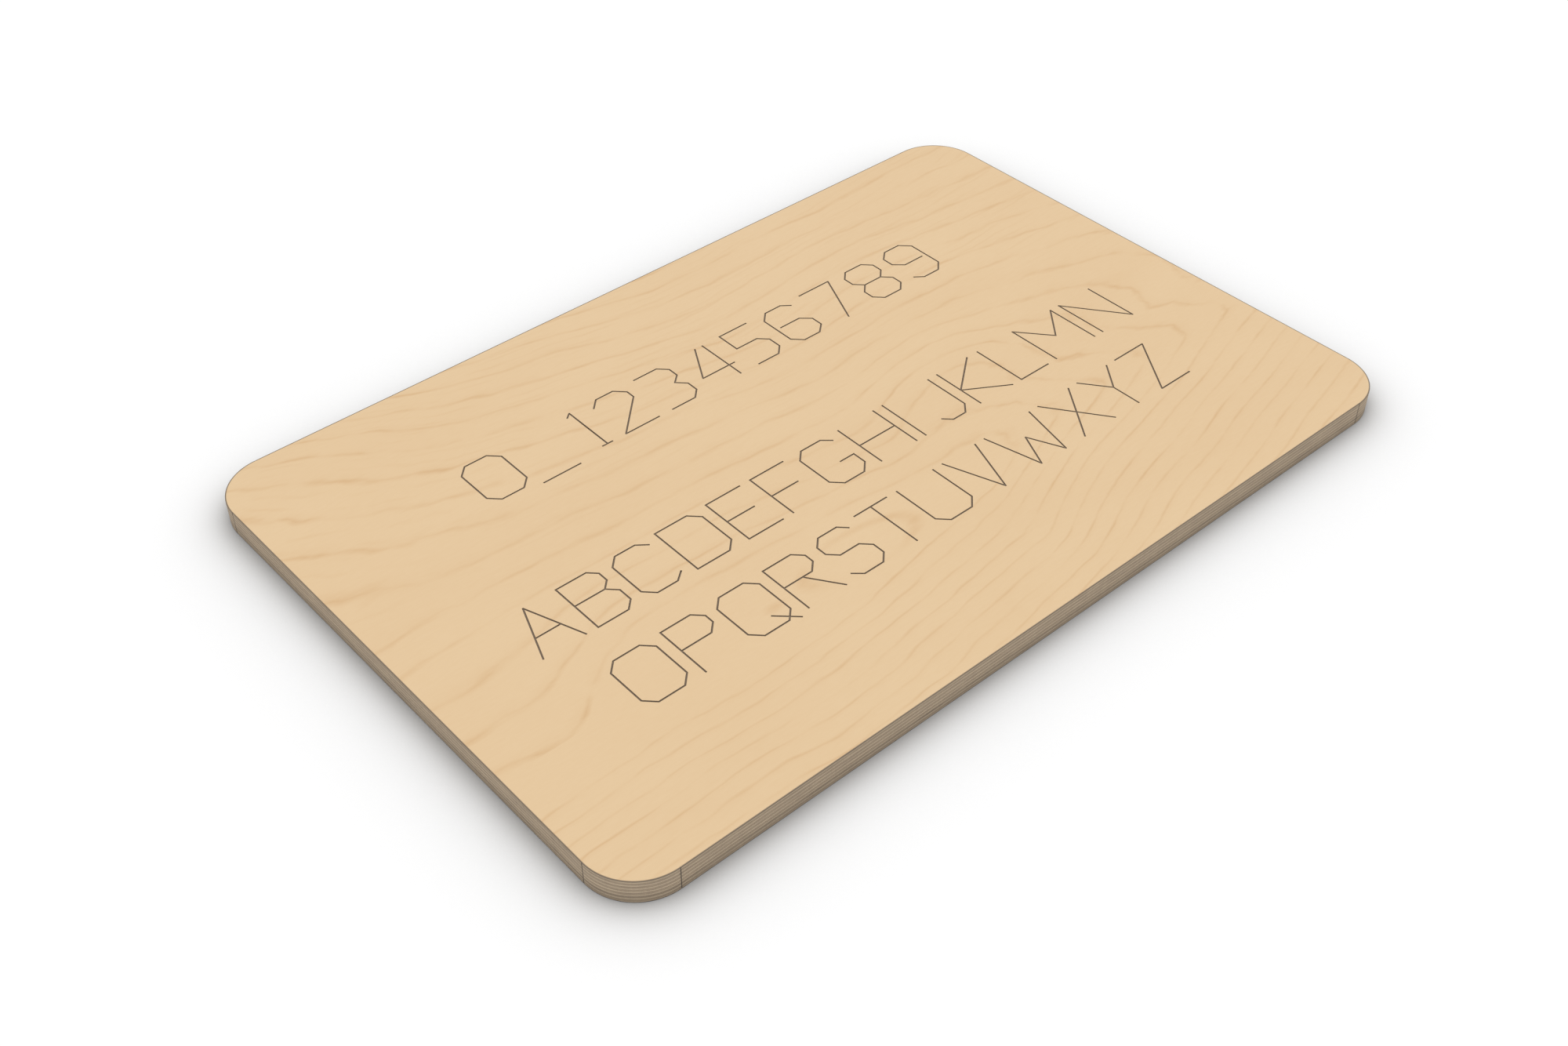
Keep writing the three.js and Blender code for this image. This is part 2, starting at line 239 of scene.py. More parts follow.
@dataclass(frozen=True)
class RingFigure:
    """Growth-ring figure of a rotary-cut veneer: long nested rings with pointed ends. Lengths in mm.

    The blade meets the rings almost flat, so they spread into a long lens along the board, whose
    rings lie close together on one side of its middle line and wide on the other.
    """

    middle_y: float = -36.0
    middle_lift: float = 5.0
    middle_lift_x: Pair = (5.0, 55.0)
    gap_closes_x: Pair = (-45.0, 30.0)
    half_gap_above: Pair = (7.6, 3.0)
    spacing_above: float = 6.6
    half_gap_below: Pair = (10.0, 0.5)
    spacing_below: float = 4.15
    tip_start_x: float = 15.5
    tip_spacing: float = 15.5
    tip_roundness_above: float = 2.4
    tip_roundness_below: float = 1.15
    tip_tremble: float = 9.0
    notch_depth: float = 11.0
    notch_start_y: float = -30.0
    notch_height: float = 27.0
    left_rise: float = 8.0
    left_rise_x: Pair = (-40.0, -114.0)
    left_rise_y: Pair = (18.0, 56.0)
    right_rise: float = 5.0
    right_rise_y: Pair = (0.0, 70.0)
    right_low_x: float = 50.0
    right_rise_reach: float = 64.0
    left_dip: float = 16.0
    left_dip_x: Pair = (-64.0, -100.0)
    left_dip_heights: tuple[float, float, float] = (-12.0, -2.0, 34.0)
    lobe_centre: Pair = (38.0, -8.0)
    lobe_half_size: Pair = (32.0, 26.0)
    lobe_lift: float = 8.0
    wander: float = 6.0
    wander_scale: Pair = (1 / 48, 1 / 30)
    tremble: float = 2.0
    tremble_scale: Pair = (1 / 11, 1 / 5)
    line_share: float = 0.12
    flank_share: float = 0.36
    flank_strength: float = 0.35
    first_ring: float = 0.5
    patch_scale: Pair = (1 / 17, 1 / 5.5)
    patch_range: Pair = (-0.14, 0.2)
    patch_strength: Pair = (0.08, 1.15)
    eye_centre: Pair = (-20.0, -36.0)
    eye_half_size: Pair = (15.7, 5.8)
    eye_line_width: float = 1.4
    fleck_centre: Pair = (-45.0, -37.0)
    fleck_half_size: Pair = (4.2, 2.0)
    fine_spacing: float = 2.4
    fine_width: float = 0.6
    fine_start_y: Pair = (0.0, 30.0)
    fine_strength: float = 0.5
    fine_patch_scale: Pair = (1 / 26, 1 / 7)
    fine_patch_range: Pair = (-0.05, 0.2)
    shift: tuple[float, float, float] = (0.0, 0.0, 0.0)

    def noise(self, tree: NodeTree, place: Feed, scale: Pair, detail: float) -> Node:
        """Add a noise centred on zero, from -0.5 to 0.5.

        Args:
            tree: Material's node tree.
            place: Coordinates in millimetres.
            scale: Cells per millimetre along and across the board.
            detail: Number of finer octaves.

        Returns:
            Node whose first output is the noise.
        """
        feeds = {"Vector": place, "Location": self.shift, "Scale": (*scale, 0.0)}
        return centred_noise(tree, add_node(tree, "ShaderNodeMapping", feeds), detail)

    def bent_height(self, tree: NodeTree, place: Feed, x: Feed, y: Feed) -> Node:
        """Add the height above the lens's middle line, bent and shaken as the grain is.

        Args:
            tree: Material's node tree.
            place: Coordinates in millimetres.
            x: Place along the board, in millimetres.
            y: Place across the board, in millimetres.

        Returns:
            Node whose first output is the bent height in millimetres.
        """
        lift = ease(tree, x, self.middle_lift_x, (0.0, self.middle_lift))
        above = compute(tree, "SUBTRACT", y, self.middle_y)
        slow = self.noise(tree, place, self.wander_scale, 1.0)
        quick = self.noise(tree, place, self.tremble_scale, 1.0)
        left = ease(tree, x, self.left_rise_x, (0.0, self.left_rise))
        left_share = remap(tree, y, self.left_rise_y)
        sideways = compute(tree, "SUBTRACT", x, self.right_low_x)
        reach = compute(tree, "DIVIDE", sideways, self.right_rise_reach)
        bowl = compute(tree, "MULTIPLY", reach, reach)
        bowl_share = remap(tree, y, self.right_rise_y, (0.0, self.right_rise))
        dip = ease(tree, x, self.left_dip_x, (0.0, self.left_dip))
        foot, crest, head = self.left_dip_heights
        dip_from_foot = remap(tree, above, (foot, crest))
        dip_from_head = remap(tree, above, (head, crest))
        dip_share = compute(tree, "MINIMUM", dip_from_foot, dip_from_head)
        lobe = self.near(tree, self.oval(tree, place, self.lobe_centre, self.lobe_half_size), 1.0)
        height = compute(tree, "SUBTRACT", above, lift)
        bends = ((slow, self.wander), (quick, self.tremble), (dip, dip_share), (lobe, -self.lobe_lift))
        for amount, share in bends:
            height = compute(tree, "MULTIPLY_ADD", amount, share, height)
        for amount, share in ((left, left_share), (bowl, bowl_share)):
            bend = compute(tree, "MULTIPLY", amount, share)
            height = compute(tree, "SUBTRACT", height, bend)
        return height

    def near(self, tree: NodeTree, distance: Feed, width: float) -> Node:
        """Add a soft line: 1 where the distance is zero, and 0 a width away from it."""
        far = compute(tree, "ABSOLUTE", distance)
        return ease(tree, far, (0.0, width), (1.0, 0.0))

    def oval(self, tree: NodeTree, place: Feed, centre: Pair, half_size: Pair) -> Node:
        """Add the distance from an oval's centre, as a share of the oval's own size."""
        offset = compute_vector(tree, "SUBTRACT", place, (*centre, 0.0))
        scale = (1 / half_size[0], 1 / half_size[1], 0.0)
        share = compute_vector(tree, "MULTIPLY", offset, scale)
        return compute_vector(tree, "LENGTH", share)

    def darkness(self, tree: NodeTree) -> Node:
        """Add the whole figure.

        Args:
            tree: Material's node tree.

        Returns:
            Node whose first output is 1 on the strongest late wood and 0 on clear wood.
        """
        place = coordinates(tree)
        axes = add_node(tree, "ShaderNodeSeparateXYZ", (place,))
        x, y = axes.outputs["X"], axes.outputs["Y"]
        height = self.bent_height(tree, place, x, y)

        gap_above = ease(tree, x, self.gap_closes_x, self.half_gap_above)
        gap_below = ease(tree, x, self.gap_closes_x, self.half_gap_below)
        above = compute(tree, "SUBTRACT", height, gap_above)
        above = compute(tree, "DIVIDE", above, self.spacing_above)
        below = compute(tree, "ADD", height, gap_below)
        below = compute(tree, "DIVIDE", below, -self.spacing_below)
        side = compute(tree, "MAXIMUM", above, below)
        side = compute(tree, "MAXIMUM", side, 0.0)

        notch_end_y = self.notch_start_y + self.notch_height
        turn = remap(tree, y, (self.notch_start_y, notch_end_y), (0.0, math.tau))
        wave = compute(tree, "COSINE", turn)
        notch = compute(tree, "SUBTRACT", 1.0, wave)
        pushed = compute(tree, "MULTIPLY_ADD", notch, self.notch_depth / 2, x)
        jolt = self.noise(tree, place, self.tremble_scale, 2.0)
        pushed = compute(tree, "MULTIPLY_ADD", jolt, self.tip_tremble, pushed)
        tip = compute(tree, "SUBTRACT", pushed, self.tip_start_x)
        tip = compute(tree, "DIVIDE", tip, self.tip_spacing)
        tip = compute(tree, "MAXIMUM", tip, 0.0)

        is_above = compute(tree, "GREATER_THAN", height, 0.0)
        roundness = remap(tree, is_above, (0.0, 1.0), (self.tip_roundness_below, self.tip_roundness_above))
        side_power = compute(tree, "POWER", side, roundness)
        tip_power = compute(tree, "POWER", tip, roundness)
        both = compute(tree, "ADD", side_power, tip_power)
        flatness = compute(tree, "DIVIDE", 1.0, roundness)
        ring = compute(tree, "POWER", both, flatness)

        phase = compute(tree, "PINGPONG", ring, 0.5)
        line = self.near(tree, phase, self.line_share)
        part = compute(tree, "FRACT", ring)
        flank = self.near(tree, part, self.flank_share)
        started = compute(tree, "GREATER_THAN", ring, self.first_ring)
        figure = compute(tree, "MULTIPLY_ADD", flank, self.flank_strength, line)
        figure = compute(tree, "MULTIPLY", figure, started)
        eye_share = self.oval(tree, place, self.eye_centre, self.eye_half_size)
        eye_edge = compute(tree, "SUBTRACT", eye_share, 1.0)
        eye_gap = compute(tree, "MULTIPLY", eye_edge, self.eye_half_size[1])
        eye = self.near(tree, eye_gap, self.eye_line_width)
        figure = compute(tree, "MAXIMUM", figure, eye)
        patches = self.noise(tree, place, self.patch_scale, 3.0)
        strength = remap(tree, patches, self.patch_range, self.patch_strength)
        figure = compute(tree, "MULTIPLY", figure, strength)
        fleck_share = self.oval(tree, place, self.fleck_centre, self.fleck_half_size)
        fleck = self.near(tree, fleck_share, 1.0)
        figure = compute(tree, "MAXIMUM", figure, fleck)

        fine_phase = compute(tree, "PINGPONG", height, self.fine_spacing / 2)
        fine = self.near(tree, fine_phase, self.fine_width)
        fine_share = remap(tree, y, self.fine_start_y, (0.0, self.fine_strength))
        fine_patches = self.noise(tree, place, self.fine_patch_scale, 2.0)
        fine_strength = remap(tree, fine_patches, self.fine_patch_range)
        fine_strength = compute(tree, "MULTIPLY", fine_strength, fine_share)
        return compute(tree, "MULTIPLY_ADD", fine, fine_strength, figure)


def start_material(name: str) -> tuple[Material, NodeTree]:
    """Make a material with an empty node tree."""
    material = bpy.data.materials.new(name)
    material.use_nodes = True
    material.node_tree.nodes.clear()
    return material, material.node_tree


@dataclass(frozen=True)
class SandedVeneer:
    """Sanded, unfinished face veneer. Lengths in mm, apart from the bump's depth.

    Sanding leaves it matt and closed, with a pale even ground, soft darker late-wood lines and a
    faint fleck along the fibres. The laser that cut the board out scorched a thin rim on it.
    Specular reflection is the usual one of dry wood, at an IOR of 1.5.
    """

    name: str
    ground: str
    late_wood: str
    figure: RingFigure
    roughness: float = 0.62
    roughness_change: float = 0.12
    ior: float = 1.5
    figure_strength: float = 0.62
    fleck_scale: Pair = (1 / 3.2, 1 / 0.7)
    fleck_strength: float = 0.24
    fleck_relief: float = 0.5
    cloud_scale: Pair = (1 / 60, 1 / 24)
    cloud_strength: float = 0.5
    bump_depth: float = 0.006 * MM
    scorch: str = "#4a4138"
    scorch_fades: Pair = (0.36, 0.22)
    scorch_strength: float = 0.8

    def rim(self, tree: NodeTree, place: Feed) -> Node:
        """Add the narrow scorched rim that the laser leaves along the outline.

        Args:
            tree: Material's node tree.
            place: Coordinates in millimetres.

        Returns:
            Node whose first output is 0 on the face and rises to the scorch's strength at its edge.
        """
        radius = CORNER_RADIUS * MM_PER_METRE
        half_size = CAD_BOX[1] * MM_PER_METRE
        corner = (half_size.x - radius, half_size.y - radius, 0.0)
        folded = compute_vector(tree, "ABSOLUTE", place)
        flat = compute_vector(tree, "MULTIPLY", folded, (1.0, 1.0, 0.0))
        beyond = compute_vector(tree, "SUBTRACT", flat, corner)
        beyond = compute_vector(tree, "MAXIMUM", beyond, (0.0, 0.0, 0.0))
        reach = compute_vector(tree, "LENGTH", beyond)
        start, end = (radius - inset for inset in self.scorch_fades)
        return remap(tree, reach, (start, end), (0.0, self.scorch_strength))

    def material(self) -> Material:
        """Build the material.

        Returns:
            Material for the sanded side of a face veneer.
        """
        material, tree = start_material(self.name)
        figure = self.figure.darkness(tree)
        place = coordinates(tree)
        # Maple's true fleck is about 0.1 mm wide; 0.7 mm is as fine as still shows at arm's length.
        fleck = self.figure.noise(tree, place, self.fleck_scale, 2.0)
        cloud = self.figure.noise(tree, place, self.cloud_scale, 2.0)
        tone = compute(tree, "MULTIPLY", figure, self.figure_strength)
        tone = compute(tree, "MULTIPLY_ADD", fleck, self.fleck_strength, tone)
        tone = compute(tree, "MULTIPLY_ADD", cloud, self.cloud_strength, tone)
        colour = blend(tree, tone, linear(self.ground), linear(self.late_wood), clamp_factor=False)
        colour = blend(tree, self.rim(tree, place), colour, linear(self.scorch))
        relief = compute(tree, "MULTIPLY_ADD", fleck, self.fleck_relief, figure)
        bump = add_node(
            tree,
            "ShaderNodeBump",
            {"Strength": 1.0, "Distance": self.bump_depth, "Height": relief},
            invert=True,
        )
        roughness = compute(tree, "MULTIPLY_ADD", fleck, self.roughness_change, self.roughness)
        add_surface(tree, {"Base Color": colour, "Roughness": roughness, "IOR": self.ior, "Normal": bump})
        return material


@dataclass(frozen=True)
class BrownedEdge:
    """Laser-cut birch edge. Lengths in mm, apart from the bump's depth.

    The beam browns the fibres to a greyish coffee colour, darker where it cuts across them, with
    fine streaks along each veneer and faint upright strokes from the beam's pulses. It chars the
    two outer corners of the cut, and the places where it starts and stops. Its lowest part, near
    the floor, is darkened by painted shade.
    """

    name: str
    light: str
    dark: str
    char: str = "#4a4138"
    roughness: float = 0.78
    ior: float = 1.5
    mean_tone: float = 0.5
    streak_length: float = 7.0
    streak_height: float = 0.16
    streak_strength: float = 1.6
    pulse_spacing: float = 0.55
    pulse_height: float = 4.0
    pulse_strength: float = 0.35
    ply_height: float = 0.47
    ply_strength: float = 0.5
    painted_shade_below: Pair = (1.8, 2.4)
    painted_shade_share: float = 0.84
    bump_depth: float = 0.03 * MM

    def noise(self, tree: NodeTree, place: Feed, across: float, upright: float, detail: float) -> Node:
        """Add a noise centred on zero whose cells have the given sizes in millimetres.

        Args:
            tree: Material's node tree.
            place: Coordinates in millimetres.
            across: Length of a cell along the board's edge, or infinite for bands that run all round.
            upright: Height of a cell.
            detail: Number of finer octaves.

        Returns:
            Node whose first output is the noise.
        """
        scale = (1 / across, 1 / across, 1 / upright)
        return centred_noise(tree, compute_vector(tree, "MULTIPLY", place, scale), detail)

    def material(self) -> Material:
        """Build the material.

        Returns:
            Material for the cut edge of a veneer.
        """
        material, tree = start_material(self.name)
        place = coordinates(tree)
        height = add_node(tree, "ShaderNodeSeparateXYZ", (place,)).outputs["Z"]
        streak = self.noise(tree, place, self.streak_length, self.streak_height, 2.0)
        # The beam's pulses are about 0.1 mm apart; 0.55 mm is as close as still shows.
        pulse = self.noise(tree, place, self.pulse_spacing, self.pulse_height, 1.0)
        ply = self.noise(tree, place, math.inf, self.ply_height, 0.0)
        tone = compute(tree, "MULTIPLY_ADD", streak, self.streak_strength, self.mean_tone)
        tone = compute(tree, "MULTIPLY_ADD", pulse, self.pulse_strength, tone)
        tone = compute(tree, "MULTIPLY_ADD", ply, self.ply_strength, tone)
        browned = blend(tree, tone, linear(self.light), linear(self.dark))
        # Painted shade: the edge's colour is darkened towards its bottom, near the floor.
        shade = ease(tree, height, self.painted_shade_below, (self.painted_shade_share, 1.0))
        painted_shade_colour = scale_vector(tree, browned, shade)
        scorch = add_node(tree, "ShaderNodeAttribute", attribute_name=SCORCH).outputs["Fac"]
        colour = blend(tree, scorch, painted_shade_colour, linear(self.char))
        bump = add_node(
            tree, "ShaderNodeBump", {"Strength": 1.0, "Distance": self.bump_depth, "Height": streak}
        )
        look = {"Base Color": colour, "Roughness": self.roughness, "IOR": self.ior, "Normal": bump}
        add_surface(tree, look)
        return material


@dataclass(frozen=True)
class StageFloor:
    """Matt white paper sweep under the board, whose colour carries painted shade near the board's edge that
    deepens its contact shade.
    """

    name: str = "Matt white paper sweep"
    colour: str = "#f0f0f0"
    roughness: float = 0.9
    ior: float = 1.3
    half_size: float = 3.0
    segments: int = 8
    drop: float = 0.02 * MM
    painted_shade_reach: float = 0.1

    def material(self) -> Material:
        """Build the paper's material."""
        material, tree = start_material(self.name)
        # Painted shade: ambient occlusion darkens the paper's colour near the board, on top of the rendered
        # contact shade.
        contact = add_node(tree, "ShaderNodeAmbientOcclusion", {"Distance": self.painted_shade_reach})
        colour = scale_vector(tree, linear(self.colour)[:3], contact.outputs["AO"])
        add_surface(tree, {"Base Color": colour, "Roughness": self.roughness, "IOR": self.ior})
        return material

    def build(self) -> Object:
        """Build the floor as a gridded sheet just under the board.

        Returns:
            The floor.
        """
        grid = bmesh.new()
        bmesh.ops.create_grid(
            grid, x_segments=self.segments, y_segments=self.segments, size=self.half_size
        )
        bmesh.ops.translate(grid, vec=(0.0, 0.0, -self.drop), verts=grid.verts)
        mesh = bpy.data.meshes.new("paper_sweep")
        grid.to_mesh(mesh)
        grid.free()
        mesh.materials.append(self.material())
        floor = link_mesh("paper_sweep", mesh)
        return floor


@dataclass(frozen=True)
class BoardOutline:
    """Path of the laser round the board: four straights and four round corners.

    The beam dwells where each straight meets a corner, which leaves a narrow upright notch there.
    Lengths in metres, with arc lengths counted from the left end of the lower straight, and the
    board's origin at the middle of the outline.
    """

    length: float
    width: float
    corner_radius: float = CORNER_RADIUS
    straight_step: float = 1.2 * MM
    corner_step: float = 0.6 * MM
    notch_width: float = 0.3 * MM
    notch_depth: float = 0.08 * MM
    notch_shares: tuple[float, ...] = (-0.5, -0.25, 0.25, 0.5)
    notch_char: float = 2.0

    def stretches(self) -> list[Pair]:
        """List each straight's and corner's length with its largest step, in order round the board."""
        corner = (math.pi / 2 * self.corner_radius, self.corner_step)
        straights = (self.length - 2 * self.corner_radius, self.width - 2 * self.corner_radius)
        return [stretch for i in range(4) for stretch in ((straights[i % 2], self.straight_step), corner)]

    def point(self, run: float) -> tuple[Vector, Vector]:
        """Find a point of the outline.

        Args:
            run: Arc length from the left end of the lower straight.

        Returns:
            The point and the direction that faces out of the board there.
        """
        signs = ((1, -1), (1, 1), (-1, 1), (-1, -1))
        half = Vector((self.length / 2 - self.corner_radius, self.width / 2 - self.corner_radius, 0))
        stretches = self.stretches()
        for index, (extent, _) in enumerate(stretches):
            if run <= extent or index == len(stretches) - 1:
                break
            run -= extent
        quarter, is_corner = divmod(index, 2)
        centre = Vector((signs[quarter][0] * half.x, signs[quarter][1] * half.y, 0))
        out_angle = math.pi / 2 * (quarter - 1)
        if is_corner:
            out_angle += run / self.corner_radius
        outward = Vector((math.cos(out_angle), math.sin(out_angle), 0))
        point = centre + outward * self.corner_radius
        if not is_corner:
            heading = Vector((-outward.y, outward.x, 0))
            point -= heading * (extent - run)
        return point, outward

    def runs(self) -> tuple[list[float], list[float]]:
        """Choose the arc lengths of the stations.

        Returns:
            The arc lengths of all stations in order, and those of the eight notches.
        """
        stations: list[float] = []
        notches: list[float] = []
        start = 0.0
        for extent, step in self.stretches():
            notches.append(start)
            count = math.ceil(extent / step)
            stations += [start + extent * i / count for i in range(count)]
            start += extent
        for notch in notches:
            for share in self.notch_shares:
                stations.append((notch + share * self.notch_width) % start)
        return sorted(stations), [*notches, start]

    def build(self) -> Object:
        """Build the outline as a row of loose vertices that carry where they face and their scorch.

        Returns:
            Helper object, to be removed once the sheets are made.
        """
        stations, notches = self.runs()
        points: list[Vector] = []
        facings: list[float] = []
        scorches: list[float] = []
        for run in stations:
            point, outward = self.point(run)
            off_notch = min(abs(run - notch) for notch in notches)
            share = max(0.0, 1.0 - off_notch / (self.notch_width / 2))
            points.append(point - outward * self.notch_depth * share)
            facings.extend(outward)
            scorches.append(min(1.0, self.notch_char * share))
        mesh = bpy.data.meshes.new("board_outline")
        mesh.from_pydata(points, [], [])
        mesh.attributes.new(OUTWARD, "FLOAT_VECTOR", "POINT").data.foreach_set("vector", facings)
        mesh.attributes.new(SCORCH, "FLOAT", "POINT").data.foreach_set("value", scorches)
        return link_mesh("board_outline", mesh)


SHEET_INPUTS = {
    "Outline": "Object",
    "Stations": "Int",
    "Side Segments": "Int",
    "Base Height": "Float",
    "Thickness": "Float",
    "Lower Arris": "Float",
    "Upper Arris": "Float",
    "Lower Scorch": "Float",
    "Upper Scorch": "Float",
    "Grain": "Vector",
    "End Grain Setback": "Float",
    "Ripple Depth": "Float",
    "Ripple Spacing": "Float",
    "Seed": "Float",
    "Face Finish": "Material",
    "Edge Finish": "Material",
}


@dataclass(frozen=True)
class SheetTree:
    """Geometry Nodes tree that cuts one sheet of the lay-up to the outline, with eased edges."""

    cap_flatness: float = 0.985
    wall_start: float = 1 / 3
    wall_end: float = 2 / 3
    lower_scorch_fades: Pair = (5 / 9, 3 / 9)
    upper_scorch_fades: Pair = (5 / 9, 6 / 9)

    def read_attribute(self, tree: NodeTree, name: str, data_type: str) -> Node:
        """Add a node that reads a named attribute."""
        return add_node(tree, "GeometryNodeInputNamedAttribute", (name,), data_type=data_type)

    def build(self) -> NodeTree:
        """Build the tree.

        A drum with as many sides as the outline has stations is wrapped round the outline. Its rings
        follow a quarter-round at the bottom, the straight cut, and a quarter-round at the top. The
        wall and the scorch start and end at shares of the drum's rise.

        Returns:
            The tree.
        """
        tree, source = start_geometry_tree("Sheet cut to the outline", SHEET_INPUTS)
        given = source.outputs
        outline = add_node(tree, "GeometryNodeObjectInfo", {"Object": given["Outline"]}).outputs["Geometry"]
        sizes = {"Vertices": given["Stations"], "Side Segments": given["Side Segments"], "Depth": 1.0}
        drum = add_node(tree, "GeometryNodeMeshCylinder", sizes, fill_type="NGON").outputs["Mesh"]
        place = add_node(tree, "GeometryNodeInputPosition")
        index = add_node(tree, "GeometryNodeInputIndex")
        station = compute(tree, "MODULO", index, given["Stations"])
        sampled = [
            add_node(
                tree,
                "GeometryNodeSampleIndex",
                {"Geometry": outline, "Value": value, "Index": station},
                data_type=data_type,
                domain="POINT",
            )
            for data_type, value in (
                ("FLOAT_VECTOR", place),
                ("FLOAT_VECTOR", self.read_attribute(tree, OUTWARD, "FLOAT_VECTOR")),
                ("FLOAT", self.read_attribute(tree, SCORCH, "FLOAT")),
            )
        ]
        point, outward, notch_scorch = sampled

        drum_height = add_node(tree, "ShaderNodeSeparateXYZ", (place,)).outputs["Z"]
        rise = compute(tree, "ADD", drum_height, 0.5)
        lower_angle = remap(tree, rise, (0.0, self.wall_start), (0.0, math.pi / 2))
        middle = remap(tree, rise, (self.wall_start, self.wall_end))
        upper_angle = remap(tree, rise, (self.wall_end, 1.0), (math.pi / 2, 0.0))
        lower_sine = compute(tree, "SINE", lower_angle)
        lower_cosine = compute(tree, "COSINE", lower_angle)
        upper_sine = compute(tree, "SINE", upper_angle)
        upper_cosine = compute(tree, "COSINE", upper_angle)

        lower_arris, upper_arris = given["Lower Arris"], given["Upper Arris"]
        wall = compute(tree, "SUBTRACT", given["Thickness"], lower_arris)
        wall = compute(tree, "SUBTRACT", wall, upper_arris)
        height = compute(tree, "ADD", given["Base Height"], lower_arris)
        lower_drop = compute(tree, "MULTIPLY", lower_arris, lower_cosine)
        height = compute(tree, "SUBTRACT", height, lower_drop)
        height = compute(tree, "MULTIPLY_ADD", wall, middle, height)
        height = compute(tree, "MULTIPLY_ADD", upper_arris, upper_cosine, height)

        lower_gap = compute(tree, "SUBTRACT", 1.0, lower_sine)
        upper_gap = compute(tree, "SUBTRACT", 1.0, upper_sine)
        inset = compute(tree, "MULTIPLY", lower_arris, lower_gap)
        inset = compute(tree, "MULTIPLY_ADD", upper_arris, upper_gap, inset)
        end_share = compute_vector(tree, "DOT_PRODUCT", outward, given["Grain"])
        end_share = compute(tree, "POWER", end_share, 2.0)
        setback = given["End Grain Setback"]
        inset = compute(tree, "MULTIPLY_ADD", setback, end_share, inset)
        cells = compute(tree, "DIVIDE", 1.0, given["Ripple Spacing"])
        ripple = add_node(
            tree,
            NOISE,
            {"Vector": point, "W": given["Seed"], "Scale": cells, "Detail": 1.0},
            noise_dimensions="4D",
        )
        inset = compute(tree, "MULTIPLY_ADD", given["Ripple Depth"], ripple, inset)
        inward = scale_vector(tree, outward, inset)
        edge = compute_vector(tree, "SUBTRACT", point, inward)
        lift = add_node(tree, "ShaderNodeCombineXYZ", {"Z": height})
        target = compute_vector(tree, "ADD", edge, lift)

        upper_scorch = remap(tree, rise, self.upper_scorch_fades, (0.0, given["Upper Scorch"]))
        lower_scorch = remap(tree, rise, self.lower_scorch_fades, (0.0, given["Lower Scorch"]))
        scorch = compute(tree, "MAXIMUM", upper_scorch, lower_scorch)
        scorch = compute(tree, "MAXIMUM", scorch, notch_scorch)
        marked = add_node(
            tree,
            "GeometryNodeStoreNamedAttribute",
            {"Geometry": drum, "Name": SCORCH, "Value": scorch},
            data_type="FLOAT",
            domain="POINT",
        )
        placed = add_node(tree, "GeometryNodeSetPosition", {"Geometry": marked, "Position": target})

        normal = add_node(tree, "GeometryNodeInputNormal")
        facing = add_node(tree, "ShaderNodeSeparateXYZ", (normal,)).outputs["Z"]
        flatness = compute(tree, "ABSOLUTE", facing)
        is_edge = add_node(
            tree,
            "FunctionNodeCompare",
            {"A": flatness, "B": self.cap_flatness},
            data_type="FLOAT",
            operation="LESS_THAN",
        )
        smooth = add_node(tree, "GeometryNodeSetShadeSmooth", {"Geometry": placed, "Shade Smooth": is_edge})
        real = add_node(tree, "GeometryNodeRealizeInstances", {"Geometry": smooth})
        faced = add_node(
            tree, "GeometryNodeSetMaterial", {"Geometry": real, "Material": given["Face Finish"]}
        )
        edged = add_node(
            tree,
            "GeometryNodeSetMaterial",
            {"Geometry": faced, "Selection": is_edge, "Material": given["Edge Finish"]},
        )
        add_node(tree, "NodeGroupOutput", {"Geometry": edged})
        return tree


@dataclass(frozen=True)
class CharredGroove:
    """Wood charred by a defocused laser pass: matt, grey-brown, a little uneven along the line."""

    name: str = "Charred maple score line"
    colour: str = "#776655"
    pale: str = "#857360"
    roughness: float = 0.85
    ior: float = 1.5
    patch_size: float = 1.6

    def material(self) -> Material:
        """Build the material."""
        material, tree = start_material(self.name)
        place = add_node(tree, "ShaderNodeTexCoord").outputs["Object"]
        cells = MM_PER_METRE / self.patch_size
        cloud = add_node(tree, NOISE, {"Vector": place, "Scale": cells, "Detail": 2.0})
        colour = blend(tree, cloud, linear(self.colour), linear(self.pale))
        add_surface(tree, {"Base Color": colour, "Roughness": self.roughness, "IOR": self.ior})
        return material


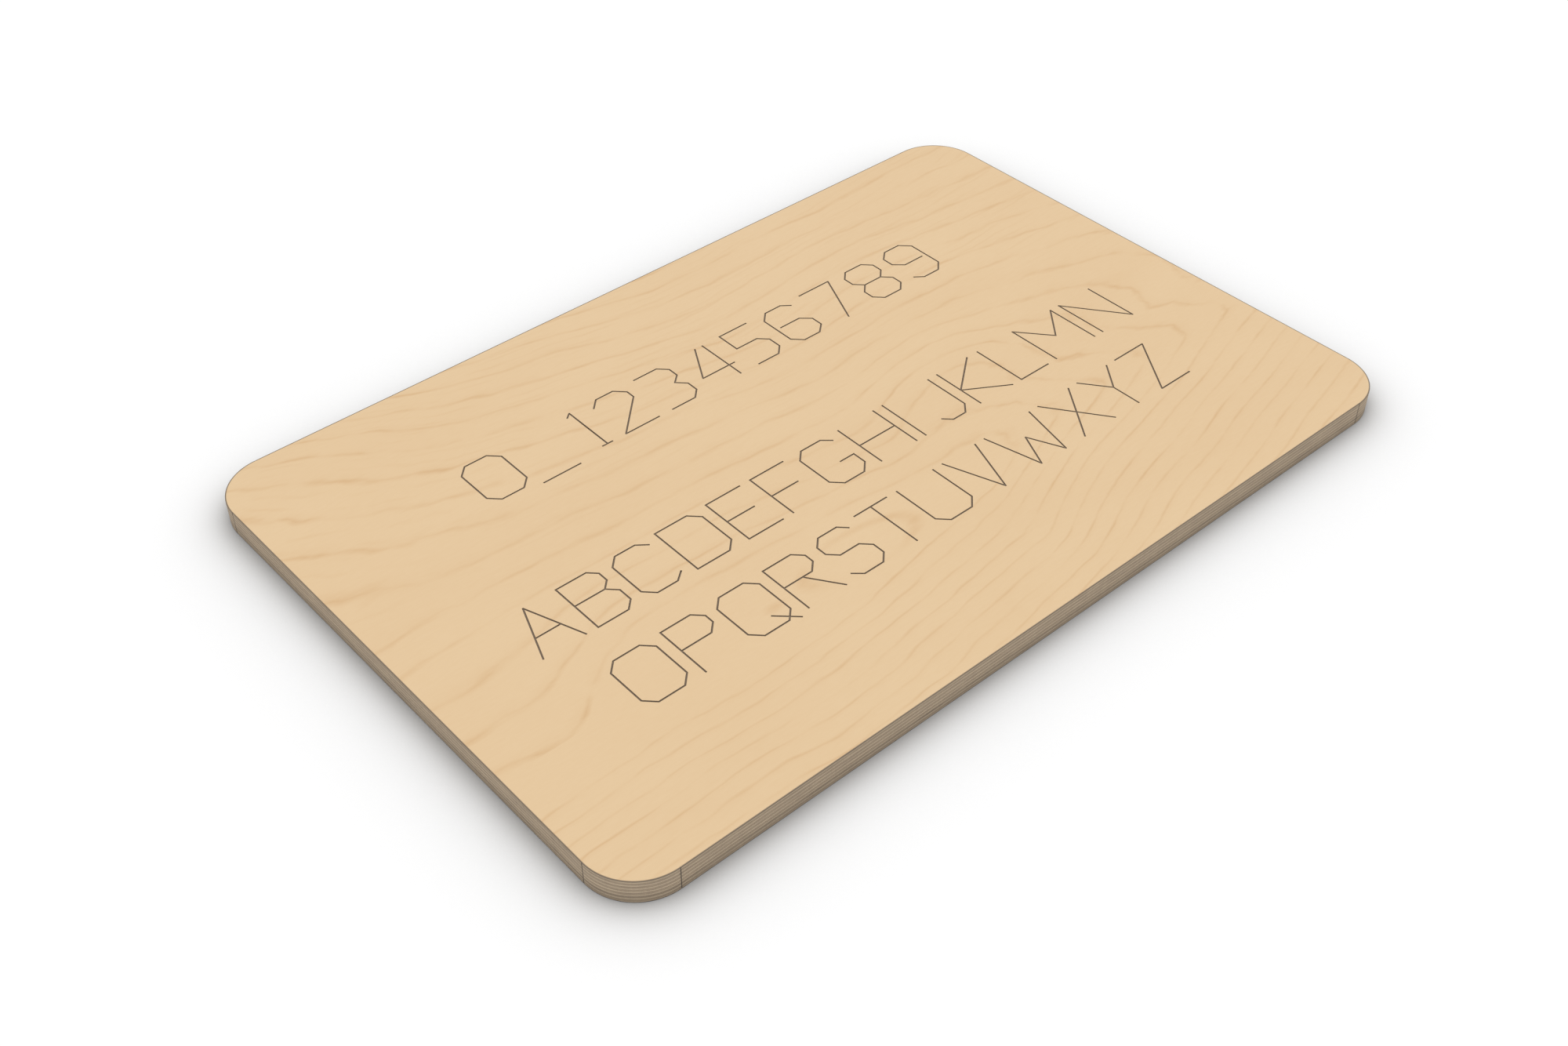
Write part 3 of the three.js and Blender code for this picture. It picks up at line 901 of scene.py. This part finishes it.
@dataclass(frozen=True)
class Lettering:
    """Score lines of the lettering, which follow the grooves of the CAD face veneer."""

    node: str = "face_veneer"
    weld: float = 0.0005 * MM
    thinnest: float = 0.0012 * MM
    floor_taper: float = 0.03 * MM
    lip: float = 0.02 * MM
    lip_taper: float = 0.01 * MM
    least_mitre: float = 0.5

    def is_sliver(self, corners: list[Vector]) -> bool:
        """Say whether a triangle is too thin to be a flat of its own."""
        sides = [second - first for first, second in zip(corners, [*corners[1:], corners[0]])]
        area = sides[0].cross(sides[1]).length / 2
        return area <= self.thinnest * max(side.length for side in sides)

    def groove_floors(self) -> tuple[float, list[Vector], list[list[int]]]:
        """Read the groove floors off the CAD face veneer.

        Returns:
            The floors' height, their corners, and the corners of each flat of theirs by index.
        """
        veneer = bmesh.new()
        veneer.from_mesh(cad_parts[self.node].data)
        bmesh.ops.remove_doubles(veneer, verts=veneer.verts, dist=self.weld)
        face_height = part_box(self.node)[1].z
        height = max(vertex.co.z for vertex in veneer.verts if vertex.co.z < face_height - self.weld)
        flats = [
            face.verts
            for face in veneer.faces
            if all(abs(vertex.co.z - height) < self.weld for vertex in face.verts)
            and not self.is_sliver([vertex.co for vertex in face.verts])
        ]
        vertices = dict.fromkeys(vertex for flat in flats for vertex in flat)
        order = {vertex: index for index, vertex in enumerate(vertices)}
        corners = [vertex.co.copy() for vertex in order]
        indices = [[order[vertex] for vertex in flat] for flat in flats]
        veneer.free()
        return height, corners, indices

    def walls(self, floors: list[list[int]]) -> list[tuple[int, int]]:
        """List the outline of the floors as pairs of corners, with the floor on their left."""
        steps = {pair for floor in floors for pair in zip(floor, [*floor[1:], floor[0]])}
        return sorted(pair for pair in steps if pair[::-1] not in steps)

    def spreads(self, corners: list[Vector], walls: list[tuple[int, int]]) -> list[Vector]:
        """Find how each corner moves for each unit by which the strokes widen.

        Args:
            corners: Corners of the floors.
            walls: Pairs of corners along the floors' outline.

        Returns:
            Offset of each corner, which is zero inside the floors.
        """
        sides: list[list[Vector]] = [[] for _ in corners]
        for first, second in walls:
            along = (corners[second] - corners[first]).normalized()
            for corner in (first, second):
                sides[corner].append(Vector((along.y, -along.x, 0)))
        return [
            (pair[0] + pair[1]) / max(1.0 + pair[0].dot(pair[1]), self.least_mitre)
            if len(pair) == 2
            else Vector()
            for pair in sides
        ]

    def score(self, sheet: Object, finish: Material) -> None:
        """Sink the score lines into the face sheet. Their walls lean out towards the face.

        Args:
            sheet: Face sheet, whose first material is the face's own.
            finish: Material of the charred grooves.
        """
        mesh = sheet.data
        mesh.materials.append(finish)
        charred = len(mesh.materials) - 1
        board = bmesh.new()
        board.from_mesh(mesh)
        cap = next(face for face in board.faces if len(face.verts) > 4 and face.normal.z > 0)
        face_height = cap.verts[0].co.z
        rim = list(cap.verts)
        board.faces.remove(cap)

        floor_height, corners, flats = self.groove_floors()
        rim_points = [vertex.co for vertex in rim]
        flat_points = [(point * MM_PER_METRE).xy for point in (*rim_points, *corners)]
        regions = [list(range(len(rim))), *([len(rim) + index for index in flat] for flat in flats)]
        inside_regions = 1
        _, _, triangles, sources, _, owners = delaunay_2d_cdt(
            flat_points, [], regions, inside_regions, self.thinnest * MM_PER_METRE, True
        )
        triangles = [[sources[corner][0] for corner in triangle] for triangle in triangles]
        flush: list[list[int]] = []
        floors: list[list[int]] = []
        for triangle, owner in zip(triangles, owners):
            floor = [index - len(rim) for index in triangle]
            is_gap = min(floor) >= 0 and self.is_sliver([corners[index] for index in floor])
            if owner and (len(owner) > 1 or is_gap):
                floors.append(floor)
            elif owner:
                flush.append(triangle)
        walls = self.walls(floors)
        spreads = self.spreads(corners, walls)
        levels = (
            (face_height, 0.0),
            (face_height - self.lip, self.lip_taper),
            (floor_height, self.floor_taper),
        )
        rings = [
            [
                board.verts.new((*(corner - spread * taper).xy, height))
                for corner, spread in zip(corners, spreads)
            ]
            for height, taper in levels
        ]
        around = [*rim, *rings[0]]
        for triangle in flush:
            board.faces.new([around[index] for index in triangle])
        grooves = [board.faces.new([rings[-1][index] for index in floor]) for floor in floors]
        for first, second in walls:
            for upper, lower in zip(rings, rings[1:]):
                grooves.append(board.faces.new((upper[first], upper[second], lower[second], lower[first])))
        for face in grooves:
            face.material_index = charred
        loose = [vertex for vertex in board.verts if not vertex.link_faces]
        bmesh.ops.delete(board, geom=loose, context="VERTS")
        board.to_mesh(mesh)
        board.free()


@dataclass(frozen=True)
class SheetSpec:
    """What one sheet of the lay-up is: its CAD node, slot, grain and finishes."""

    node: str
    slot: str
    grain: Grain
    side_segments: int
    arris: float
    face_finish: Material
    edge_finish: Material


@dataclass(frozen=True)
class Finishes:
    """Every material of the board."""

    maple: Material
    birch_back: Material
    light_edge: Material
    dark_edge: Material
    glue: Material
    groove: Material


def make_finishes() -> Finishes:
    """Build every finish of the board from the real materials' looks.

    Returns:
        The materials.
    """
    back_figure = RingFigure(
        middle_y=24.0,
        spacing_above=6.0,
        spacing_below=8.5,
        tip_start_x=32.0,
        tip_spacing=21.0,
        notch_depth=4.0,
        wander=10.0,
        eye_centre=(31.0, 22.0),
        eye_half_size=(11.0, 3.4),
        fleck_centre=(58.0, 20.0),
        fleck_half_size=(3.0, 1.2),
        shift=(7.0, 3.0, 0.0),
    )
    return Finishes(
        maple=SandedVeneer("Sanded maple veneer", "#d4b78f", "#caa77b", RingFigure()).material(),
        birch_back=SandedVeneer("Sanded birch veneer", "#d9bf9b", "#c8a87f", back_figure).material(),
        light_edge=BrownedEdge("Laser-cut birch, long grain", "#b8a58b", "#968572").material(),
        dark_edge=BrownedEdge("Laser-cut birch, end grain", "#a29078", "#7c6d5b").material(),
        glue=BrownedEdge("Cured phenolic glue line", "#96866f", "#786a59", roughness=0.6).material(),
        groove=CharredGroove().material(),
    )


@dataclass
class Board:
    """The whole lay-up: thirteen veneers and twelve glue films, cut round by the laser."""

    finishes: Finishes
    body: str = "root"
    outer_arris: float = 0.08 * MM
    upper_scorch: float = 0.75
    inner_arris: float = 0.025 * MM
    veneer_side_segments: int = 9
    glue_side_segments: int = 3
    end_grain_setback: float = 0.012 * MM
    ripple_depth: float = 0.02 * MM
    ripple_spacing: float = 6.0 * MM
    face_node: str = "face_veneer"
    back_node: str = "back_veneer"
    pieces: list[Object] = field(default_factory=list)

    def spec(self, node: str) -> SheetSpec:
        """Say what a CAD node's sheet is made of.

        Args:
            node: Name of the CAD node.

        Returns:
            The sheet's slot, grain, edge and finishes.
        """
        finishes = self.finishes
        if node == self.face_node:
            looks = ("maple_face", Grain.ALONG, finishes.maple, finishes.light_edge)
        elif node == self.back_node:
            looks = ("birch_back", Grain.ALONG, finishes.birch_back, finishes.light_edge)
        elif node.startswith("glue_line"):
            looks = ("cured_glue", Grain.ALONG, finishes.glue, finishes.glue)
        elif node.startswith("cross_veneer"):
            looks = ("cross_grain_birch", Grain.ACROSS, finishes.dark_edge, finishes.dark_edge)
        else:
            looks = ("long_grain_birch", Grain.ALONG, finishes.light_edge, finishes.light_edge)
        slot, grain, face_finish, edge_finish = looks
        is_glue = slot == "cured_glue"
        segments = self.glue_side_segments if is_glue else self.veneer_side_segments
        arris = 0.0 if is_glue else self.inner_arris
        return SheetSpec(node, slot, grain, segments, arris, face_finish, edge_finish)

    def cut_sheet(self, spec: SheetSpec, tree: NodeTree, outline: Object, seed: int) -> Object:
        """Cut one sheet to the outline, between the heights of its CAD node.

        Args:
            spec: What the sheet is.
            tree: Geometry Nodes tree that cuts a sheet.
            outline: Outline's stations.
            seed: Number that sets this sheet's ripples.

        Returns:
            The sheet, with its modifier still on it.
        """
        lowest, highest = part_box(spec.node)
        is_top, is_bottom = spec.node == self.face_node, spec.node == self.back_node
        sheet = link_mesh(f"{spec.node}_sheet", bpy.data.meshes.new(spec.node))
        values = {
            "Outline": outline,
            "Stations": len(outline.data.vertices),
            "Side Segments": spec.side_segments,
            "Base Height": lowest.z,
            "Thickness": highest.z - lowest.z,
            "Lower Arris": self.outer_arris if is_bottom else spec.arris,
            "Upper Arris": self.outer_arris if is_top else spec.arris,
            "Lower Scorch": float(is_bottom),
            "Upper Scorch": self.upper_scorch if is_top else 0.0,
            "Grain": spec.grain.value,
            "End Grain Setback": self.end_grain_setback,
            "Ripple Depth": self.ripple_depth,
            "Ripple Spacing": self.ripple_spacing,
            "Seed": float(seed),
            "Face Finish": spec.face_finish,
            "Edge Finish": spec.edge_finish,
        }
        add_geometry_modifier(sheet, tree, values)
        return sheet

    def build(self) -> None:
        """Build every sheet, from the back up, in place of its CAD node, which is hidden, and attach each
        to the board's body.
        """
        lowest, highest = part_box(self.face_node)
        outline = BoardOutline(length=highest.x - lowest.x, width=highest.y - lowest.y).build()
        tree = SheetTree().build()
        nodes = sorted(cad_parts, key=lambda node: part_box(node)[0].z)
        for seed, node in enumerate(nodes):
            spec = self.spec(node)
            sheet = self.cut_sheet(spec, tree, outline, seed)
            bake_modifiers(sheet)
            if node == self.face_node:
                Lettering().score(sheet, self.finishes.groove)
            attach(sheet, self.body)
            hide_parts(node)
            self.pieces.append(sheet)
            LOG.info("%s: %d faces, finish slot %s", sheet.name, len(sheet.data.polygons), spec.slot)
        bpy.data.objects.remove(outline)


@dataclass(frozen=True)
class Studio:
    """Plain, soft, even light from a white tent with a large softbox overhead."""

    tent_colour: str = "#ffffff"
    tent_strength: float = 1.1
    softbox_size: float = 1.6
    softbox_height: float = 1.3
    softbox_power: float = 2.0

    def build(self) -> None:
        """Build the tent's light, the softbox and the view's plain tone curve."""
        world = bpy.data.worlds.new("white_tent")
        world.use_nodes = True
        world.node_tree.nodes.clear()
        tree = world.node_tree
        look = {"Color": linear(self.tent_colour), "Strength": self.tent_strength}
        tent = add_node(tree, "ShaderNodeBackground", look)
        add_node(tree, "ShaderNodeOutputWorld", {"Surface": tent})
        bpy.context.scene.world = world
        light = bpy.data.lights.new("softbox", "AREA")
        light.shape = "SQUARE"
        light.size = self.softbox_size
        light.energy = self.softbox_power
        softbox = bpy.data.objects.new("softbox", light)
        softbox.location = (0.0, 0.0, self.softbox_height)
        bpy.context.scene.collection.objects.link(softbox)
        bpy.context.scene.view_settings.view_transform = "Standard"


@dataclass(frozen=True)
class ViewCamera:
    """Camera that looks down on the near left corner of the board. Angles in degrees."""

    azimuth: float = 41.196
    elevation: float = 41.687
    roll: float = -0.215
    distance: float = 403.93 * MM
    lens: float = 42.826
    sensor: float = 36.0
    aim_from_centre: Pair = (-26.23 * MM, -18.54 * MM)
    aim_below_face: float = 0.15 * MM
    clip_start: float = 0.01

    def build(self) -> None:
        """Build the camera and make it the scene's own."""
        lowest, highest = CAD_BOX
        middle = (lowest + highest) / 2
        face_centre = Vector((middle.x, middle.y, highest.z))
        aim = face_centre + Vector((*self.aim_from_centre, -self.aim_below_face))
        azimuth, elevation = math.radians(self.azimuth), math.radians(self.elevation)
        level = math.cos(elevation)
        forward = Vector((level * math.sin(azimuth), level * math.cos(azimuth), -math.sin(elevation)))
        turn = forward.to_track_quat("-Z", "Y").to_matrix().to_4x4()
        data = bpy.data.cameras.new("view_camera")
        data.lens = self.lens
        data.sensor_width = self.sensor
        data.clip_start = self.clip_start
        camera = bpy.data.objects.new("view_camera", data)
        place = Matrix.Translation(aim - forward * self.distance)
        camera.matrix_world = place @ turn @ Matrix.Rotation(math.radians(self.roll), 4, "Z")
        bpy.context.scene.collection.objects.link(camera)
        bpy.context.scene.camera = camera


def main() -> None:
    """Build the camera, the studio, the floor and the board."""
    logging.basicConfig(level=logging.INFO, format="%(name)s: %(message)s")
    ViewCamera().build()
    Studio().build()
    StageFloor().build()
    board = Board(make_finishes())
    board.build()
    LOG.info("%d sheets built for %d CAD nodes", len(board.pieces), len(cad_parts))


if __name__ == "__main__":
    main()
